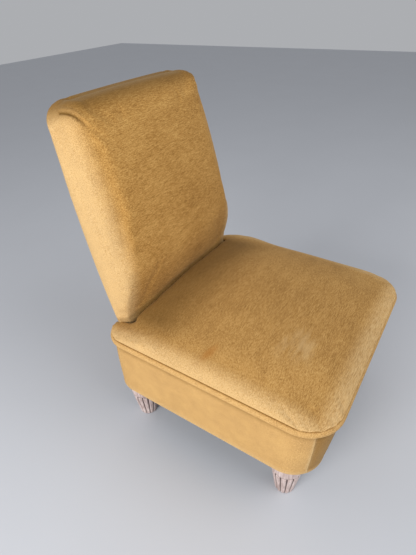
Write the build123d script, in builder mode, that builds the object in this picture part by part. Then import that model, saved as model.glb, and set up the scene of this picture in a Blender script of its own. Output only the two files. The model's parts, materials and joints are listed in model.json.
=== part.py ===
from build123d import *
from math import asin, atan2, cos, degrees, hypot, pi, radians, sin, tan
import os

# Cocktail chair: a low armless chair with a sprung seat, a raked padded back
# and four turned, reeded feet. Millimetres, +Z up, the front faces -Y.
# The origin is on the floor under the middle of the chair's overall box.

# Seat, measured outside over the lip
seat_width = 566.0
seat_depth = 570.0
front_corner = 82.0
rear_corner = 65.0
apron_clearance = 132.0
apron_height = 156.0
lip_height = 17.0
lip_depth = 16.0
lip_bevel = 5.0
crown_rise = 57.0
crown_radius = 1400.0
shoulder_round = 58.0

# How far each level of the cover stands inside the lip
seam_set = 3.0
apron_set = 8.0
front_tuck = 19.0

# Cloth and stuffing
cover = 2.0
hem = 3.5
hem_width = 8.0
wadding = 2.0
hessian = 1.2
lining = 1.2
dust_cloth = 1.0
layer_gap = 0.2

# Back, on a plane that leans backwards by the rake
rake = 12.5
back_set = 98.0
back_length = 470.0
back_tail = 160.0
back_thickness = 104.0
back_side_set = 58.0
back_low_taper = 16.0
back_top_taper = 26.0
back_top_bow = 5.0
back_corner = 50.0
back_crown_radius = 2000.0
back_front_round = 44.0
back_rear_round = 24.0
back_gap = 0.6
panel_set = 2.0

# Seat frame
rail_thickness = 28.0
rail_height = 100.0
block_width = 80.0
front_block_depth = 104.0
rear_block_depth = 84.0
block_chamfer = 26.0
corner_facets = 4
tenon_length = 30.0
tenon_thickness = 12.0
tenon_height = 70.0
tenon_fit = 0.1

# Back frame
stile_width = 32.0
stile_depth = 36.0
stile_foot_depth = 28.0
stile_foot_rise = 8.0
stile_gap = 17.0
stile_top_cover = 40.0
back_rail_height = 52.0
back_rail_thickness = 26.0
lower_rail_rise = 26.0
back_tenon_length = 20.0
back_tenon_height = 32.0
housing_depth = 6.0
screw_diameter = 9.0
screw_length = 52.0
screw_head = 15.0
screw_head_height = 6.0

# Feet
foot_side_set = 46.0
foot_front_set = 62.0
foot_rear_set = 46.0
foot_base_radius = 23.0
foot_reed_top_radius = 34.5
reed_count = 14
reed_height = 80.0
groove_depth = 2.8
groove_width = 3.8
ring_depth = 3.0
collar_radius = 36.0
collar_bevel = 5.0
peg_diameter = 28.0
peg_length = 52.0
peg_fit = 0.1

# Springs, webbing and lashing
spring_rows = 3
spring_pitch = 125.0
spring_turns = 4
spring_end_turns = 0.8
spring_sides = 6
spring_end_radius = 38.0
spring_waist_radius = 24.0
spring_wire = 3.6
spring_stand = 14.0
strap_width = 46.0
strap_thickness = 1.4
strap_hold = 18.0
strap_fit = 0.1
twine = 2.5
twine_hold = 3.0
hessian_hold = 9.0
hessian_rim = 4.0
hessian_reach = 6.0
back_strap_width = 46.0
back_upright_straps = 3
back_cross_straps = 4
back_strap_hold = 14.0

os.makedirs("parts", exist_ok=True)

# Levels of the seat
lip_z = apron_clearance + apron_height
seam_z = lip_z + lip_height
crown_z = seam_z + crown_rise
rail_z = apron_clearance + hem
rail_top = rail_z + rail_height

# The back leans about a base point at the height of the seat's crown. The
# overall depth runs from the front lip to the top of the back's rear.
lean = radians(rake)
sitting_depth = seat_depth - back_set
back_mid_width = seat_width - 2 * back_side_set
back_low_width = back_mid_width - back_low_taper
back_top_width = back_mid_width - back_top_taper
rear_round = min(back_rear_round, back_corner - 2 * cover)
rear_reach = (back_length - rear_round) * sin(lean) + back_thickness * cos(lean)
seat_front = -(sitting_depth + rear_reach) / 2
seat_rear = seat_front + seat_depth
back_y = seat_front + sitting_depth
back_z = crown_z
back_plane = Plane(origin=(0, back_y, back_z), x_dir=(1, 0, 0), z_dir=(0, -cos(lean), sin(lean)))


def on_back(up, deep):
    # A point of the back's side view: up along the rake, deep into the back
    return (back_y + up * sin(lean) + deep * cos(lean), back_z + up * cos(lean) - deep * sin(lean))


# Seat frame lines
seat_half = seat_width / 2
frame_set = apron_set + cover + wadding
frame_half = seat_half - frame_set
frame_front = seat_front + frame_set + front_tuck
frame_rear = seat_rear - frame_set
block_inner = frame_half - block_width
front_block_end = frame_front + front_block_depth
rear_block_end = frame_rear - rear_block_depth
rail_inner = frame_half - rail_thickness
front_rail_inner = frame_front + rail_thickness
rear_rail_inner = frame_rear - rail_thickness
foot_x = frame_half - foot_side_set
foot_front_y = frame_front + foot_front_set
foot_rear_y = frame_rear - foot_rear_set

# Back frame lines
stile_outer = block_inner - stile_gap
stile_inner = stile_outer - stile_width
stile_back = back_thickness - cover - lining
stile_face = stile_back - stile_depth
stile_top = back_length - stile_top_cover
stile_foot_y = rear_rail_inner - stile_foot_depth
strap_stack = 2 * strap_thickness + strap_fit
back_hessian_face = stile_face - strap_stack - hessian


def seat_outline(height, inset):
    # The seat seen from above, with round corners
    with BuildSketch(Plane.XY.offset(height)) as outline:
        with Locations((0, (seat_front + seat_rear) / 2)):
            Rectangle(2 * (seat_half - inset), seat_depth - 2 * inset)
        fillet(outline.vertices().group_by(Axis.Y)[0], front_corner - inset)
        fillet(outline.vertices().group_by(Axis.Y)[-1], rear_corner - inset)
    return outline.sketch


def frame_outline(height, margin):
    # The wooden seat frame seen from above, with corners planed off in facets
    front_bend = front_corner - frame_set
    rear_bend = rear_corner - frame_set
    corners = [
        (frame_half - front_bend, frame_front + front_bend, front_bend),
        (frame_half - rear_bend, frame_rear - rear_bend, rear_bend),
        (rear_bend - frame_half, frame_rear - rear_bend, rear_bend),
        (front_bend - frame_half, frame_front + front_bend, front_bend),
    ]
    points = []
    for corner, (x, y, radius) in enumerate(corners):
        for facet in range(corner_facets + 1):
            turn = pi / 2 * (corner - 1 + facet / corner_facets)
            points.append((x + (radius + margin) * cos(turn), y + (radius + margin) * sin(turn)))
    with BuildSketch(Plane.XY.offset(height)) as outline:
        with BuildLine():
            Polyline(*points, close=True)
        make_face()
    return outline.sketch


# The shoulder bends from the seam up to the crown, a very large ball
shoulder = min(shoulder_round, min(front_corner, rear_corner) - seam_set - 2 * cover)
shoulder_rise = crown_rise - (seat_half - seam_set - shoulder) ** 2 / (2 * crown_radius)


def seat_dome(inset, shoulder_bands):
    # The crowned top of the seat over its seam
    rings = []
    for band in range(shoulder_bands + 1):
        bend = pi / 2 * band / shoulder_bands
        ring_inset = seam_set + inset + (shoulder - inset) * (1 - cos(bend))
        rings.append(seat_outline(seam_z + (shoulder_rise - inset) * sin(bend), ring_inset))
    with BuildPart() as dome:
        loft(rings, ruled=True)
        extrude(seat_outline(seam_z, seam_set + shoulder), amount=crown_rise + cover)
        with Locations(Location((0, (seat_front + seat_rear) / 2, crown_z - crown_radius), (90, 0, 0))):
            Sphere(crown_radius - inset, mode=Mode.INTERSECT)
    return dome.part


# The apron stands upright at the sides and rear, and tucks in under the front
tuck_angle = atan2(front_tuck, apron_height)
tuck_plane = Plane(
    origin=(0, seat_front + apron_set + front_tuck, apron_clearance),
    x_dir=(1, 0, 0),
    z_dir=(0, -sin(tuck_angle), cos(tuck_angle)),
)
seat_mid = (seat_front + seat_rear) / 2


def apron_body(inset):
    # The whole space inside the apron, less an even inset
    half = seat_half - apron_set
    with BuildSketch(tuck_plane) as front_view:
        with Locations((0, inset)):
            Rectangle(2 * (half - inset), seat_depth, align=(Align.CENTER, Align.MIN))
        fillet(front_view.vertices().group_by(Axis.Y)[0], front_corner - apron_set - inset)
    rear_end = seat_rear - apron_set - inset
    with BuildSketch(Plane.XY.offset(apron_clearance)) as rear_view:
        with Locations((0, (seat_mid + rear_end) / 2)):
            Rectangle(2 * (half - inset), rear_end - seat_mid)
        fillet(rear_view.vertices().group_by(Axis.Y)[-1], rear_corner - apron_set - inset)
    with BuildPart() as body:
        extrude(front_view.sketch, amount=2 * apron_height, both=True)
        with Locations((0, seat_mid, apron_clearance)):
            Box(
                2 * seat_width,
                seat_depth,
                apron_height,
                align=(Align.CENTER, Align.MAX, Align.MIN),
                mode=Mode.INTERSECT,
            )
        extrude(rear_view.sketch, amount=apron_height)
    return body.part


# Each side of the back is part of one large circle through its low, middle and
# top width, and its top is another
side_low = (back_low_width / 2, -back_tail)
side_mid = (back_mid_width / 2, back_length / 2)
side_top = (back_top_width / 2, back_length - back_top_bow)
low_run = ((side_mid[0] ** 2 - side_low[0] ** 2) + (side_mid[1] ** 2 - side_low[1] ** 2)) / 2
top_run = ((side_mid[0] ** 2 - side_top[0] ** 2) + (side_mid[1] ** 2 - side_top[1] ** 2)) / 2
low_x, low_y = side_mid[0] - side_low[0], side_mid[1] - side_low[1]
top_x, top_y = side_mid[0] - side_top[0], side_mid[1] - side_top[1]
side_cross = low_x * top_y - low_y * top_x
side_x = (low_run * top_y - top_run * low_y) / side_cross
side_y = (low_x * top_run - top_x * low_run) / side_cross
side_radius = hypot(side_mid[0] - side_x, side_mid[1] - side_y)
top_radius = (side_top[0] ** 2 + back_top_bow ** 2) / (2 * back_top_bow)

# The round corner's centre lies its own radius within both circles
top_y = back_length - top_radius
to_side = side_radius - back_corner
to_top = top_radius - back_corner
apart = hypot(side_x, top_y - side_y)
along = (to_side ** 2 - to_top ** 2 + apart ** 2) / (2 * apart)
across = (to_side ** 2 - along ** 2) ** 0.5
corner_x = side_x - along * side_x / apart + across * abs(top_y - side_y) / apart
corner_y = side_y + along * (top_y - side_y) / apart + across * abs(side_x) / apart
low_turn = atan2(side_low[1] - side_y, side_low[0] - side_x)
side_turn = atan2(corner_y - side_y, corner_x - side_x)
top_turn = atan2(corner_y - top_y, corner_x)


def arc_points(centre, radius, start, end, flip):
    # Three points of an arc, mirrored to the other side by the flip
    turns = (start, (start + end) / 2, end)
    return [(flip * (centre[0] + radius * cos(turn)), centre[1] + radius * sin(turn)) for turn in turns]


def back_outline(deep, inset):
    # The back seen from the front, with sides that swell between the corners
    side_centre = (side_x, side_y)
    corner_centre = (corner_x, corner_y)
    with BuildSketch(back_plane.offset(-deep)) as outline:
        with BuildLine():
            right = arc_points(side_centre, side_radius - inset, low_turn, side_turn, 1)
            left = arc_points(side_centre, side_radius - inset, side_turn, low_turn, -1)
            ThreePointArc(*right)
            ThreePointArc(*arc_points(corner_centre, back_corner - inset, side_turn, top_turn, 1))
            ThreePointArc(*arc_points((0, top_y), top_radius - inset, top_turn, pi - top_turn, 1))
            ThreePointArc(*arc_points(corner_centre, back_corner - inset, top_turn, side_turn, -1))
            ThreePointArc(*left)
            Line(left[-1], right[0])
        make_face()
    return outline.sketch


# The front edge bends back from the crown, a very large ball; the rear edge
# bends less, round the wood of the stiles
front_round = min(back_front_round, back_corner - 2 * cover)
edge_drop = (back_mid_width / 2 - front_round) ** 2 / (2 * back_crown_radius)


def back_form(inset, front_bands, rear_bands):
    # The padded back: a crowned front with soft edges and a flat rear
    rings = []
    for band in range(front_bands + 1):
        bend = pi / 2 * (1 - band / front_bands)
        deep = edge_drop + inset + (front_round - inset) * (1 - sin(bend))
        rings.append(back_outline(deep, inset + (front_round - inset) * (1 - cos(bend))))
    for band in range(rear_bands + 1):
        bend = pi / 2 * band / rear_bands
        deep = back_thickness - rear_round + (rear_round - inset) * sin(bend)
        rings.append(back_outline(deep, inset + (rear_round - inset) * (1 - cos(bend))))
    ball = back_plane.offset(-back_crown_radius).from_local_coords((0, back_length / 2, 0))
    with BuildPart() as form:
        loft(rings, ruled=True)
        extrude(back_outline(-cover, front_round), amount=-back_thickness / 2)
        with Locations(ball):
            Sphere(back_crown_radius - inset, mode=Mode.INTERSECT)
    return form.part


def save(piece, name):
    piece.label = name
    export_step(piece, f"parts/{name}.step")
    return piece


# Feet: a reeded taper under a ring groove and a turned collar, with a peg on top
crest_low = foot_base_radius * (1 + cos(pi / reed_count)) / 2
crest_high = foot_reed_top_radius * (1 + cos(pi / reed_count)) / 2
reed_flare = crest_high - crest_low
groove_plane = Plane(
    origin=(foot_base_radius - groove_depth, 0, 0),
    x_dir=(0, 1, 0),
    z_dir=(reed_flare, 0, reed_height),
)
groove_open = 2 * groove_depth
with BuildPart() as groove:
    with BuildSketch(groove_plane):
        with BuildLine():
            Polyline((0, 0), (groove_width, -groove_open), (-groove_width, -groove_open), close=True)
        make_face()
    extrude(amount=2 * reed_height, both=True)
with BuildPart() as reeds:
    Cylinder(collar_radius, reed_height, align=(Align.CENTER, Align.CENTER, Align.MIN))
    for reed in range(reed_count):
        turn = 2 * pi * (reed + 0.5) / reed_count
        crest = Plane(
            origin=(crest_low * cos(turn), crest_low * sin(turn), 0),
            z_dir=(reed_height * cos(turn), reed_height * sin(turn), -reed_flare),
        )
        split(bisect_by=crest, keep=Keep.BOTTOM)
    with PolarLocations(0, reed_count):
        add(groove.part, mode=Mode.SUBTRACT)
with BuildPart() as foot:
    with BuildSketch(Plane.XZ):
        with BuildLine():
            Polyline(
                (0, reed_height),
                (foot_reed_top_radius - ring_depth, reed_height),
                (collar_radius, reed_height + collar_bevel),
                (collar_radius, rail_z),
                (peg_diameter / 2, rail_z),
                (peg_diameter / 2, rail_z + peg_length),
                (0, rail_z + peg_length),
                close=True,
            )
        make_face()
    revolve(axis=Axis.Z)
    add(reeds.part)

foot_places = {
    "foot_front_right": (-foot_x, foot_front_y),
    "foot_front_left": (foot_x, foot_front_y),
    "foot_rear_right": (-foot_x, foot_rear_y),
    "foot_rear_left": (foot_x, foot_rear_y),
}
for name, (x, y) in foot_places.items():
    with BuildPart() as placed:
        with Locations((x, y, 0)):
            add(foot.part)
    save(placed.part, name)

# Tenons at the ends of the rails, with mortises for them in the corner blocks
rail_centre = frame_half - rail_thickness / 2
front_rail_centre = frame_front + rail_thickness / 2
rear_rail_centre = frame_rear - rail_thickness / 2
rail_middle = rail_z + rail_height / 2
cross_joints = [(side * block_inner, y) for side in (-1, 1) for y in (front_rail_centre, rear_rail_centre)]
long_joints = [(side * rail_centre, y) for side in (-1, 1) for y in (front_block_end, rear_block_end)]


def mortises():
    # Pockets at every joint, of which a block keeps its own two
    with Locations(*[(x, y, rail_middle) for x, y in cross_joints]):
        Box(
            2 * (tenon_length + tenon_fit),
            tenon_thickness + 2 * tenon_fit,
            tenon_height + 2 * tenon_fit,
            mode=Mode.SUBTRACT,
        )
    with Locations(*[(x, y, rail_middle) for x, y in long_joints]):
        Box(
            tenon_thickness + 2 * tenon_fit,
            2 * (tenon_length + tenon_fit),
            tenon_height + 2 * tenon_fit,
            mode=Mode.SUBTRACT,
        )


# Corner blocks, rounded outside, cut off inside, bored for the feet's pegs
block_boxes = {
    "corner_block_front_right": (-1, frame_front, front_block_end),
    "corner_block_front_left": (1, frame_front, front_block_end),
    "corner_block_rear_right": (-1, rear_block_end, frame_rear),
    "corner_block_rear_left": (1, rear_block_end, frame_rear),
}
for name, (side, start, end) in block_boxes.items():
    foot_y = foot_places[name.replace("corner_block", "foot")][1]
    inside = end if start == frame_front else start
    with BuildPart() as block:
        extrude(frame_outline(rail_z, 0), amount=rail_height)
        with Locations((side * (frame_half - block_width / 2), (start + end) / 2, rail_z + rail_height / 2)):
            Box(block_width, end - start, rail_height, mode=Mode.INTERSECT)
        inner = block.edges().filter_by(Axis.Z).sort_by_distance((side * block_inner, inside, rail_z))[0]
        chamfer(inner, block_chamfer)
        with Locations((side * foot_x, foot_y, rail_z + (peg_length + peg_fit) / 2)):
            Cylinder(peg_diameter / 2 + peg_fit, peg_length + peg_fit, mode=Mode.SUBTRACT)
        mortises()
    save(block.part, name)

# Rails between the blocks, with a tenon at each end. The rear rail is housed
# out for the feet of the stiles and bored for their screws
stile_centre = (stile_outer + stile_inner) / 2
screw_places = [Location((side * stile_centre, stile_foot_y, rail_middle), (-90, 0, 0)) for side in (-1, 1)]


def screw_holes():
    # Along +Y from the inner side of the stiles, ending inside the rail
    with Locations(*screw_places):
        Cylinder(
            screw_diameter / 2,
            screw_length,
            align=(Align.CENTER, Align.CENTER, Align.MIN),
            mode=Mode.SUBTRACT,
        )


with BuildPart() as rail_front:
    with Locations((0, front_rail_centre, rail_middle)):
        Box(2 * block_inner, rail_thickness, rail_height)
        Box(2 * (block_inner + tenon_length), tenon_thickness, tenon_height)
save(rail_front.part, "seat_rail_front")

stile_seat = rear_rail_inner + housing_depth
stile_foot_z = rail_z + stile_foot_rise
with BuildPart() as rail_rear:
    with Locations((0, rear_rail_centre, rail_middle)):
        Box(2 * block_inner, rail_thickness, rail_height)
        Box(2 * (block_inner + tenon_length), tenon_thickness, tenon_height)
    with Locations(*[(side * stile_centre, rear_rail_inner, stile_foot_z) for side in (-1, 1)]):
        Box(
            stile_width + 2 * tenon_fit,
            2 * housing_depth,
            rail_height,
            align=(Align.CENTER, Align.CENTER, Align.MIN),
            mode=Mode.SUBTRACT,
        )
    screw_holes()
save(rail_rear.part, "seat_rail_rear")

side_rail_length = rear_block_end - front_block_end
for name, side in (("seat_rail_right", -1), ("seat_rail_left", 1)):
    with BuildPart() as rail_side:
        with Locations((side * rail_centre, (front_block_end + rear_block_end) / 2, rail_middle)):
            Box(rail_thickness, side_rail_length, rail_height)
            Box(tenon_thickness, side_rail_length + 2 * tenon_length, tenon_height)
    save(rail_side.part, name)

# Back frame: two band-sawn stiles, screwed to the rear rail, and two rails
top_rail_up = stile_top - back_rail_height / 2
low_rail_up = lower_rail_rise + back_rail_height / 2
back_rail_deep = stile_face + back_rail_thickness / 2
back_joint_plane = back_plane.offset(-back_rail_deep)
seat_level = (seam_z - back_z) / cos(lean)
rear_on_rail = back_y + (rail_top - back_z) * tan(lean) + stile_back / cos(lean)
for name, side in (("back_stile_right", -1), ("back_stile_left", 1)):
    with BuildPart() as stile:
        with BuildSketch(Plane.YZ.offset(side * stile_centre)):
            with BuildLine():
                Polyline(
                    (stile_foot_y, stile_foot_z),
                    (stile_seat, stile_foot_z),
                    (stile_seat, rail_top),
                    (rear_on_rail, rail_top),
                    on_back(stile_top, stile_back),
                    on_back(stile_top, stile_face),
                    on_back(seat_level, stile_face),
                    (stile_foot_y, rail_top),
                    close=True,
                )
            make_face()
        extrude(amount=stile_width / 2, both=True)
        with BuildSketch(back_joint_plane):
            with Locations((0, top_rail_up), (0, low_rail_up)):
                Rectangle(2 * (stile_inner + back_tenon_length + tenon_fit), back_tenon_height + 2 * tenon_fit)
        extrude(amount=tenon_thickness / 2 + tenon_fit, both=True, mode=Mode.SUBTRACT)
        screw_holes()
    save(stile.part, name)

for name, up in (("back_rail_top", top_rail_up), ("back_rail_lower", low_rail_up)):
    with BuildPart() as back_rail:
        with BuildSketch(back_joint_plane):
            with Locations((0, up)):
                Rectangle(2 * stile_inner, back_rail_height)
        extrude(amount=back_rail_thickness / 2, both=True)
        with BuildSketch(back_joint_plane):
            with Locations((0, up)):
                Rectangle(2 * (stile_inner + back_tenon_length), back_tenon_height)
        extrude(amount=tenon_thickness / 2, both=True)
    save(back_rail.part, name)

# Coach screws through the stiles into the rear rail, with hexagon heads
with BuildPart() as screw:
    Cylinder(screw_diameter / 2, screw_length, align=(Align.CENTER, Align.CENTER, Align.MIN))
    with BuildSketch():
        RegularPolygon(screw_head / 2, 6, major_radius=False)
    extrude(amount=-screw_head_height)
with BuildPart() as stile_screws:
    with Locations(*screw_places):
        add(screw.part)
save(stile_screws.part, "stile_screws")

# Webbing: straps woven over and under each other
strap_count = 2 * spring_rows - 1
strap_pitch = spring_pitch / 2
spring_y = (front_rail_inner + stile_foot_y) / 2
spring_steps = [(row - (spring_rows - 1) / 2) * spring_pitch for row in range(spring_rows)]
strap_steps = [(row - (strap_count - 1) / 2) * strap_pitch for row in range(strap_count)]


def woven_strap(plane, start, end, crossings, half, phase):
    # Side view of a strap: level over or under each crossing strap, level ends
    upper = -strap_thickness
    lower = -strap_stack
    points = [(start, upper)]
    for index, place in enumerate(crossings):
        level = upper if (index + phase) % 2 == 0 else lower
        points += [(place - half, level), (place + half, level)]
    points.append((end, upper))
    homeward = [(a, b + strap_thickness) for a, b in reversed(points)]
    with BuildSketch(plane) as strap:
        with BuildLine():
            Polyline(*points, *homeward, close=True)
        make_face()
    return strap.sketch


strap_flat = strap_width / 2 + strap_thickness
with BuildPart() as webbing_long:
    for index, x in enumerate(strap_steps):
        strap = woven_strap(
            Plane(origin=(x, spring_y, rail_z), x_dir=(0, 1, 0), z_dir=(1, 0, 0)),
            front_rail_inner - strap_hold - spring_y,
            rear_rail_inner + strap_hold - spring_y,
            strap_steps,
            strap_flat,
            index,
        )
        extrude(strap, amount=strap_width / 2, both=True)
save(webbing_long.part, "seat_webbing_lengthwise")

with BuildPart() as webbing_cross:
    for index, y in enumerate(strap_steps):
        strap = woven_strap(
            Plane(origin=(0, spring_y + y, rail_z), x_dir=(1, 0, 0), z_dir=(0, -1, 0)),
            -rail_inner - strap_hold,
            rail_inner + strap_hold,
            strap_steps,
            strap_flat,
            index + 1,
        )
        extrude(strap, amount=strap_width / 2, both=True)
save(webbing_cross.part, "seat_webbing_crosswise")

# Hourglass springs, one coil path by formula, repeated over the strap crossings
spring_low = rail_z + layer_gap + spring_wire / 2
spring_high = rail_top + spring_stand - spring_wire / 2
coil_steps = spring_turns * spring_sides
coil = []
end_share = spring_end_turns / spring_turns
for step in range(coil_steps + 1):
    share = step / coil_steps
    turn = 2 * pi * step / spring_sides
    climb = min(max((share - end_share) / (1 - 2 * end_share), 0), 1)
    radius = spring_waist_radius + (spring_end_radius - spring_waist_radius) * abs(2 * climb - 1)
    coil.append((radius * cos(turn), radius * sin(turn), spring_low + climb * (spring_high - spring_low)))

with BuildPart() as spring:
    with BuildLine() as coil_line:
        Polyline(*coil)
    with BuildSketch(Plane(origin=coil_line.line @ 0, z_dir=coil_line.line % 0)):
        Rectangle(spring_wire, spring_wire)
    sweep(transition=Transition.RIGHT)
with BuildPart() as seat_springs:
    with Locations(*[(x, spring_y + y, 0) for x in spring_steps for y in spring_steps]):
        add(spring.part)
save(seat_springs.part, "seat_springs")

coil_gap = min(
    hypot(hypot(a[0] - b[0], a[1] - b[1]), a[2] - b[2]) - spring_wire * 1.42
    for index, a in enumerate(coil)
    for b in coil[index + spring_sides // 2 + 1:]
)
print("least gap of a spring to itself", round(coil_gap, 2), "mm")

# Lashing twine over the springs, tied down to the rails
lash_low = rail_top + twine / 2
lash_first = rail_top + spring_stand + 4 * layer_gap + twine / 2
lash_second = lash_first + twine
lash_reach = spring_steps[-1] + spring_end_radius + spring_wire


def lash(start, end, middle, level):
    return [(start, lash_low), (middle - lash_reach, level), (middle + lash_reach, level), (end, lash_low)]


with BuildPart() as spring_twine:
    for step in spring_steps:
        route = lash(front_rail_inner - twine_hold, rear_rail_inner + twine_hold, spring_y, lash_first)
        with BuildLine() as cord:
            Polyline(*[(step, y, z) for y, z in route])
        with BuildSketch(Plane(origin=cord.line @ 0, z_dir=cord.line % 0)):
            RegularPolygon(twine / 2, 6)
        sweep(transition=Transition.RIGHT)
        route = lash(-rail_inner - twine_hold, rail_inner + twine_hold, 0, lash_second)
        with BuildLine() as cord:
            Polyline(*[(x, spring_y + step, z) for x, z in route])
        with BuildSketch(Plane(origin=cord.line @ 0, z_dir=cord.line % 0)):
            RegularPolygon(twine / 2, 6)
        sweep(transition=Transition.RIGHT)
save(spring_twine.part, "spring_twine")

# Hessian over the springs, and the first stuffing that shapes the seat's edge
tent_top = lash_second + twine / 2 + layer_gap
tent_half = lash_reach + hessian_reach
hessian_set = rail_thickness - hessian_hold


rim_half = frame_half - hessian_set
rim_front = frame_front + hessian_set
rim_rear = frame_rear - hessian_set
tent_front = spring_y - tent_half
tent_rear = spring_y + tent_half


def tent(lift, inset):
    # The space under the hessian: over the ends of the twine on the rails, then
    # up to the lashed springs. Its rim lies within the blocks' planed corners
    low = rail_top + twine + layer_gap + lift
    rise = tent_top + lift - low
    half = rim_half - inset
    front = rim_front + inset
    rear = rim_rear - inset
    with BuildPart() as space:
        with BuildSketch(Plane.XY.offset(rail_top)):
            with Locations((0, (front + rear) / 2)):
                Rectangle(2 * half, rear - front)
        extrude(amount=tent_top + lift - rail_top)
        for side in (-1, 1):
            slope = Plane(origin=(side * half, 0, low), z_dir=(side * rise, 0, half - tent_half))
            split(bisect_by=slope, keep=Keep.BOTTOM)
        split(bisect_by=Plane(origin=(0, front, low), z_dir=(0, -rise, tent_front - front)), keep=Keep.BOTTOM)
        split(bisect_by=Plane(origin=(0, rear, low), z_dir=(0, rise, rear - tent_rear)), keep=Keep.BOTTOM)
    return space.part


def stile_slots():
    # Room for the stiles through cloth and stuffing
    with Locations(*[(side * stile_centre, stile_foot_y - layer_gap, rail_top - layer_gap) for side in (-1, 1)]):
        Box(
            stile_width + 2 * layer_gap,
            seat_depth,
            apron_height,
            align=(Align.CENTER, Align.MIN, Align.MIN),
            mode=Mode.SUBTRACT,
        )


tent_over = tent(hessian, 0)
with BuildPart() as seat_hessian:
    add(tent_over)
    add(tent(0, hessian_rim), mode=Mode.SUBTRACT)
    stile_slots()
save(seat_hessian.part, "seat_hessian")

apron_lining = apron_body(cover + layer_gap)
with BuildPart() as first_stuffing:
    add(apron_lining)
    with Locations((0, 0, rail_top)):
        Box(
            2 * seat_width,
            2 * seat_depth,
            apron_height,
            align=(Align.CENTER, Align.CENTER, Align.MIN),
            mode=Mode.INTERSECT,
        )
    add(tent_over, mode=Mode.SUBTRACT)
    stile_slots()
save(first_stuffing.part, "first_stuffing")

# Wadding between the wooden frame and the apron
with BuildPart() as frame_space:
    extrude(frame_outline(rail_z, layer_gap), amount=rail_height)
with BuildPart() as apron_wadding:
    add(apron_lining)
    with Locations((0, 0, rail_z)):
        Box(
            2 * seat_width,
            2 * seat_depth,
            rail_height,
            align=(Align.CENTER, Align.CENTER, Align.MIN),
            mode=Mode.INTERSECT,
        )
    add(frame_space.part, mode=Mode.SUBTRACT)
save(apron_wadding.part, "apron_wadding")

# Apron: four velvet panels with a doubled hem, sewn together at the corners
with BuildPart() as hem_space:
    add(apron_body(cover / 2))
    add(apron_body(cover + hem_width), mode=Mode.SUBTRACT)
    with Locations((0, 0, apron_clearance)):
        Box(
            2 * seat_width,
            2 * seat_depth,
            hem,
            align=(Align.CENTER, Align.CENTER, Align.MIN),
            mode=Mode.INTERSECT,
        )
with BuildPart() as apron:
    add(apron_body(0))
    add(apron_body(cover), mode=Mode.SUBTRACT)
    add(hem_space.part)

reach = seat_width
front_mid = (seat_half - front_corner, seat_front + front_corner + front_tuck / 2)
rear_mid = (seat_half - rear_corner, seat_rear - rear_corner)
fx, fy = front_mid
rx, ry = rear_mid
panel_wedges = {
    "apron_front": [(-fx, fy), (-fx - reach, fy - reach), (fx + reach, fy - reach), (fx, fy)],
    "apron_rear": [(rx, ry), (rx + reach, ry + reach), (-rx - reach, ry + reach), (-rx, ry)],
    "apron_left": [(fx, fy), (fx + reach, fy - reach), (rx + reach, ry + reach), (rx, ry)],
    "apron_right": [(-rx, ry), (-rx - reach, ry + reach), (-fx - reach, fy - reach), (-fx, fy)],
}
for name, corners in panel_wedges.items():
    with BuildPart() as wedge:
        with BuildSketch():
            with BuildLine():
                Polyline(*corners, close=True)
            make_face()
        extrude(amount=seam_z)
    with BuildPart() as panel:
        add(apron.part)
        add(wedge.part, mode=Mode.INTERSECT)
    save(panel.part, name)

# Space that the back takes out of the seat, open to the rear
back_body = back_form(0, 3, 2)
with BuildPart() as back_space:
    add(back_form(-back_gap, 3, 2))
    extrude(back_outline(back_thickness / 2, -back_gap), amount=-back_thickness)

# Seat pad, crowned over the seam and held by the lip below it
with BuildPart() as seat_pad:
    add(seat_dome(cover + layer_gap, 2))
    extrude(seat_outline(lip_z, lip_depth + layer_gap), amount=lip_height + layer_gap)
    add(back_space.part, mode=Mode.SUBTRACT)
save(seat_pad.part, "seat_pad")

with BuildPart() as seat_top_cover:
    add(seat_dome(0, 3))
    add(seat_dome(cover, 2), mode=Mode.SUBTRACT)
    add(back_space.part, mode=Mode.SUBTRACT)
save(seat_top_cover.part, "seat_top_cover")

with BuildPart() as seat_lip:
    extrude(seat_outline(lip_z, 0), amount=lip_height)
    chamfer(seat_lip.faces().filter_by(Axis.Z).edges(), lip_bevel)
    extrude(seat_outline(lip_z, lip_depth), amount=lip_height, mode=Mode.SUBTRACT)
    add(back_space.part, mode=Mode.SUBTRACT)
save(seat_lip.part, "seat_lip")

# Dust cloth under the seat, cut out round the feet
with BuildPart() as dust_cover:
    add(apron_body(cover + hem_width / 2))
    with Locations((0, 0, apron_clearance)):
        Box(
            2 * seat_width,
            2 * seat_depth,
            dust_cloth,
            align=(Align.CENTER, Align.CENTER, Align.MIN),
            mode=Mode.INTERSECT,
        )
with BuildPart() as dust_cloth_placed:
    with Locations((0, 0, -dust_cloth)):
        add(dust_cover.part)
    with BuildSketch(Plane.XY.offset(apron_clearance)):
        with Locations(*foot_places.values()):
            RegularPolygon(collar_radius + dust_cloth / 2, 8, major_radius=False, rotation=22.5)
    extrude(amount=-2 * dust_cloth, mode=Mode.SUBTRACT)
save(dust_cloth_placed.part, "dust_cover")

# Back webbing, hessian, pad and covers
back_web_plane = back_plane.offset(-stile_face)
upright_pitch = 2 * stile_inner / (back_upright_straps + 1)
upright_steps = [(row - (back_upright_straps - 1) / 2) * upright_pitch for row in range(back_upright_straps)]
opening_low = lower_rail_rise + back_rail_height
opening_high = stile_top - back_rail_height
opening_mid = (opening_low + opening_high) / 2
cross_pitch = (opening_high - opening_low) / back_cross_straps
cross_steps = [(row - (back_cross_straps - 1) / 2) * cross_pitch for row in range(back_cross_straps)]
back_strap_flat = back_strap_width / 2 + strap_thickness

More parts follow.
